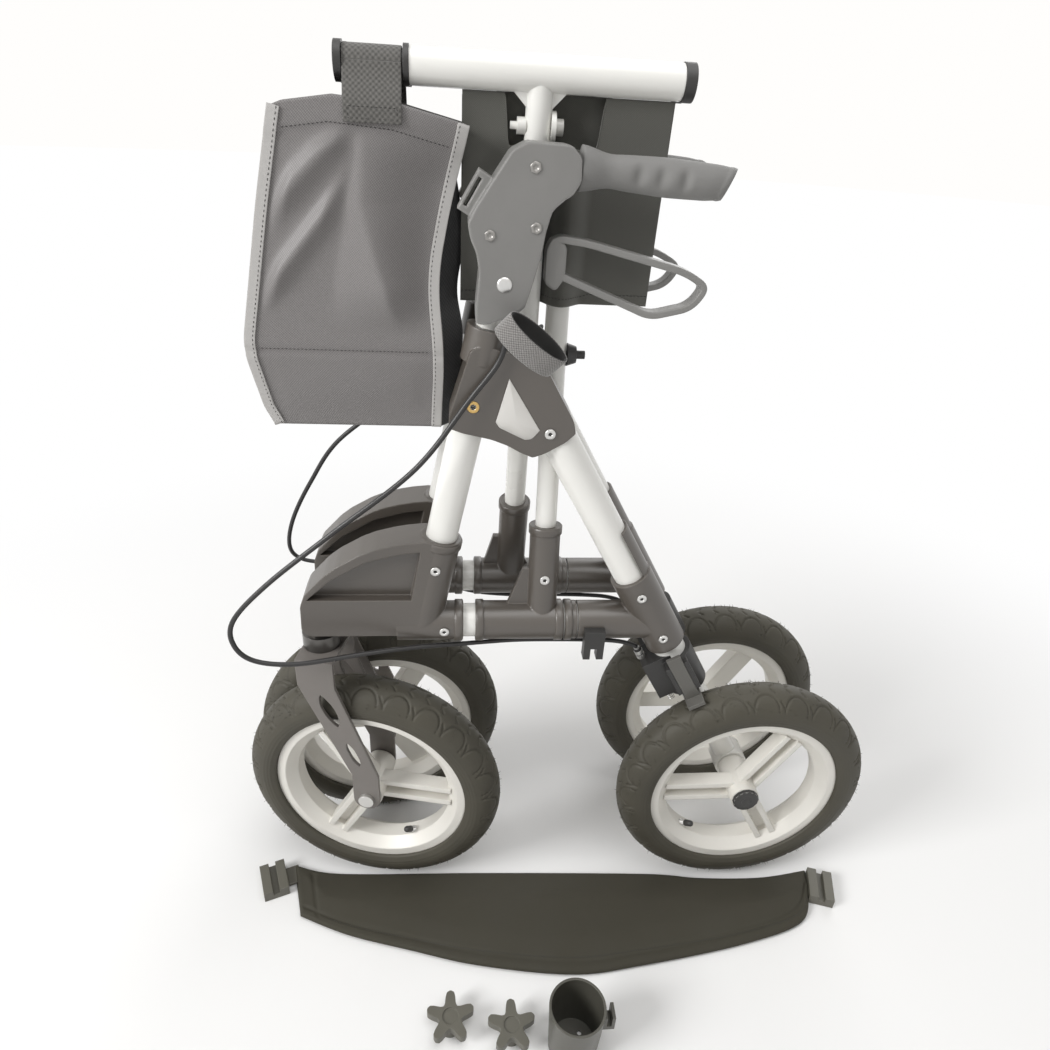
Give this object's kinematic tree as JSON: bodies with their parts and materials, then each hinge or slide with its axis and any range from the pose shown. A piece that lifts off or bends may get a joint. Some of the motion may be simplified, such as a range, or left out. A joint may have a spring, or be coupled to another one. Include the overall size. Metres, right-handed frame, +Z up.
{
  "type": "rollator",
  "caption": "Folding all terrain rollator with large air-tyre wheels, swivel castors, cross-folding frame, height-set handles with brake levers, fabric seat and bag, and its loose back strap.",
  "frame": {"origin": "on the floor at the middle of the whole part, loose pieces included", "axes": "+X from the castors to the rear wheels, +Y from the user's left to the right, +Z up"},
  "size_m": [0.7498, 0.423, 0.9064],
  "materials": {
    "white_paint": "smooth white gloss paint on aluminium tube",
    "grey_plastic": "fine-grained warm charcoal moulding",
    "black_plastic": "satin black moulding",
    "grip_rubber": "matt soft grip",
    "fastener_steel": "bright zinc plate",
    "bar_steel": "dark grey paint",
    "cable_sheath": "satin black sheath",
    "fork_paint": "satin dark grey paint",
    "tyre_rubber": "black tread rubber",
    "rim_plastic": "silver-grey moulding",
    "seat_fabric": "black woven polyester",
    "bag_fabric": "warm dark grey woven polyester",
    "strap_tape": "fuzzy touch-fasten tape",
    "cup_plastic": "dark olive-grey moulding",
    "strap_foam": "smooth fabric over foam"
  },
  "bodies": {
    "left_frame": {"left_lower_tube": "white_paint", "left_front_leg": "white_paint", "left_rear_leg": "white_paint", "left_top_joint": "grey_plastic", "left_stick_clip": "black_plastic", "left_frame_fasteners": "fastener_steel", "left_front_housing": "grey_plastic", "left_rear_housing": "grey_plastic", "left_brake_housing": "black_plastic", "left_axle_stay": "white_paint", "left_brake_cable": "cable_sheath"},
    "left_handle": {"left_handle_tube": "white_paint", "left_handle_casing": "grey_plastic", "left_grip": "grip_rubber", "cable_strap": "strap_tape"},
    "left_lever": {"left_brake_lever": "grey_plastic"},
    "left_brake": {"left_brake_bar": "bar_steel"},
    "left_castor": {"left_fork": "fork_paint", "left_castor_hardware": "fastener_steel"},
    "left_front_wheel": {"left_front_tyre": "tyre_rubber", "left_front_rim": "rim_plastic"},
    "left_rear_wheel": {"left_rear_tyre": "tyre_rubber", "left_rear_rim": "rim_plastic"},
    "left_arm": {"left_cross_arm": "white_paint", "left_cross_sleeve": "grey_plastic", "right_seat_caps": "black_plastic", "cross_pivot": "black_plastic"},
    "left_seat_half": {"left_seat": "seat_fabric"},
    "left_bag_half": {"left_bag": "bag_fabric"},
    "right_frame": {"right_lower_tube": "white_paint", "right_front_leg": "white_paint", "right_rear_leg": "white_paint", "right_top_joint": "grey_plastic", "right_stick_clip": "black_plastic", "right_frame_fasteners": "fastener_steel", "right_front_housing": "grey_plastic", "right_rear_housing": "grey_plastic", "right_brake_housing": "black_plastic", "right_axle_stay": "white_paint", "right_brake_cable": "cable_sheath"},
    "right_handle": {"right_handle_tube": "white_paint", "right_handle_casing": "grey_plastic", "right_grip": "grip_rubber"},
    "right_lever": {"right_brake_lever": "grey_plastic"},
    "right_brake": {"right_brake_bar": "bar_steel"},
    "right_castor": {"right_fork": "fork_paint", "right_castor_hardware": "fastener_steel"},
    "right_front_wheel": {"right_front_tyre": "tyre_rubber", "right_front_rim": "rim_plastic"},
    "right_rear_wheel": {"right_rear_tyre": "tyre_rubber", "right_rear_rim": "rim_plastic"},
    "right_arm": {"right_cross_arm": "white_paint", "right_cross_sleeve": "grey_plastic", "left_seat_caps": "black_plastic"},
    "right_seat_half": {"right_seat": "seat_fabric"},
    "right_bag_half": {"right_bag": "bag_fabric"},
    "cup": {"cup_holder": "cup_plastic"},
    "knobs": {"clamp_knobs": "cup_plastic"},
    "strap": {"back_strap": "strap_foam", "strap_clips": "black_plastic"}
  },
  "joints": [
    {"name": "left_handle_height", "type": "slide", "parent": "left_frame", "child": "left_handle", "axis": [0.1959, 0, 0.9806], "range_m": [0, 0.12]},
    {"name": "left_lever_squeeze", "type": "hinge", "parent": "left_handle", "child": "left_lever", "pos_m": [-0.06673, 0.05695, 0.76], "axis": [0, -1, 0], "range_deg": [0, 14], "stiffness_Nm_per_rad": 6, "springref_deg": -5.73},
    {"name": "left_brake_press", "type": "slide", "parent": "left_frame", "child": "left_brake", "axis": [0.4985, 0, -0.8669], "range_m": [0, 0.0026]},
    {"name": "left_castor_swivel", "type": "hinge", "parent": "left_frame", "child": "left_castor", "pos_m": [-0.27265, 0.06095, 0.351], "axis": [0, 0, 1], "range_deg": [-3, 26]},
    {"name": "left_front_roll", "type": "hinge", "parent": "left_castor", "child": "left_front_wheel", "pos_m": [-0.22374, 0.05055, 0.1525], "axis": [0.2079, 0.9781, 0], "continuous": true},
    {"name": "left_rear_roll", "type": "hinge", "parent": "left_frame", "child": "left_rear_wheel", "pos_m": [0.22235, 0.02945, 0.1525], "axis": [0, 1, 0], "continuous": true},
    {"name": "right_handle_height", "type": "slide", "parent": "right_frame", "child": "right_handle", "axis": [0.1959, 0, 0.9806], "range_m": [0, 0.12]},
    {"name": "right_lever_squeeze", "type": "hinge", "parent": "right_handle", "child": "right_lever", "pos_m": [-0.06673, 0.15295, 0.76], "axis": [0, -1, 0], "range_deg": [0, 14], "stiffness_Nm_per_rad": 6, "springref_deg": -5.73},
    {"name": "right_brake_press", "type": "slide", "parent": "right_frame", "child": "right_brake", "axis": [0.4985, 0, -0.8669], "range_m": [0, 0.0026]},
    {"name": "right_castor_swivel", "type": "hinge", "parent": "right_frame", "child": "right_castor", "pos_m": [-0.27265, 0.14895, 0.351], "axis": [0, 0, 1], "range_deg": [-15, 7]},
    {"name": "right_front_roll", "type": "hinge", "parent": "right_castor", "child": "right_front_wheel", "pos_m": [-0.22284, 0.15331, 0.1525], "axis": [-0.0872, 0.9962, 0], "continuous": true},
    {"name": "right_rear_roll", "type": "hinge", "parent": "right_frame", "child": "right_rear_wheel", "pos_m": [0.22235, 0.18045, 0.1525], "axis": [0, 1, 0], "continuous": true},
    {"name": "fold", "type": "hinge", "parent": "left_frame", "child": "left_arm", "pos_m": [-0.00065, 0.06095, 0.38], "axis": [-1, 0, 0], "range_deg": [0, 48]},
    {"name": "cross_turn", "type": "hinge", "parent": "left_arm", "child": "right_arm", "pos_m": [-0.00065, 0.10495, 0.663], "axis": [1, 0, 0], "range_deg": [-0.5, 96.5]},
    {"name": "right_frame_turn", "type": "hinge", "parent": "right_arm", "child": "right_frame", "pos_m": [-0.00065, 0.14895, 0.38], "axis": [-1, 0, 0], "range_deg": [-0.5, 48.5]},
    {"name": "left_seat_turn", "type": "hinge", "parent": "right_arm", "child": "left_seat_half", "pos_m": [-0.00065, 0.09015, 0.892], "axis": [1, 0, 0], "range_deg": [-0.5, 38.39], "deforming": ["left_seat"]},
    {"name": "seat_fold", "type": "hinge", "parent": "left_seat_half", "child": "right_seat_half", "pos_m": [-0.00065, 0.10495, 0.7115], "axis": [-1, 0, 0], "range_deg": [-0.5, 172.27], "deforming": ["right_seat"]},
    {"name": "left_bag_hang", "type": "hinge", "parent": "right_arm", "child": "left_bag_half", "pos_m": [-0.00065, 0.09015, 0.892], "axis": [-1, 0, 0], "range_deg": [-0.5, 48.5]},
    {"name": "bag_spread", "type": "slide", "parent": "left_bag_half", "child": "right_bag_half", "axis": [0, 1, 0], "range_m": [-0.003, 0.3336], "deforming": ["right_bag"]},
    {"name": "cup_lift", "type": "slide", "parent": "left_frame", "child": "cup", "axis": [0, 0, 1], "range_m": [0, 0.05]},
    {"name": "knobs_lift", "type": "slide", "parent": "left_frame", "child": "knobs", "axis": [0, 0, 1], "range_m": [0, 0.05]},
    {"name": "strap_lift", "type": "slide", "parent": "left_frame", "child": "strap", "axis": [0, -0.6, 0.8], "range_m": [0, 0.05]}
  ],
  "couplings": [
    {"joint": "left_brake_press", "follows": "left_lever_squeeze", "m_per_rad": 0.010231},
    {"joint": "right_brake_press", "follows": "right_lever_squeeze", "m_per_rad": 0.010231},
    {"joint": "cross_turn", "follows": "fold", "ratio": 2},
    {"joint": "right_frame_turn", "follows": "fold", "ratio": 1},
    {"joint": "left_seat_turn", "follows": "fold", "ratio": 0.78929},
    {"joint": "seat_fold", "follows": "fold", "ratio": 3.5786},
    {"joint": "left_bag_hang", "follows": "fold", "ratio": 1},
    {"joint": "bag_spread", "follows": "fold", "m_per_rad": 0.39459}
  ]
}
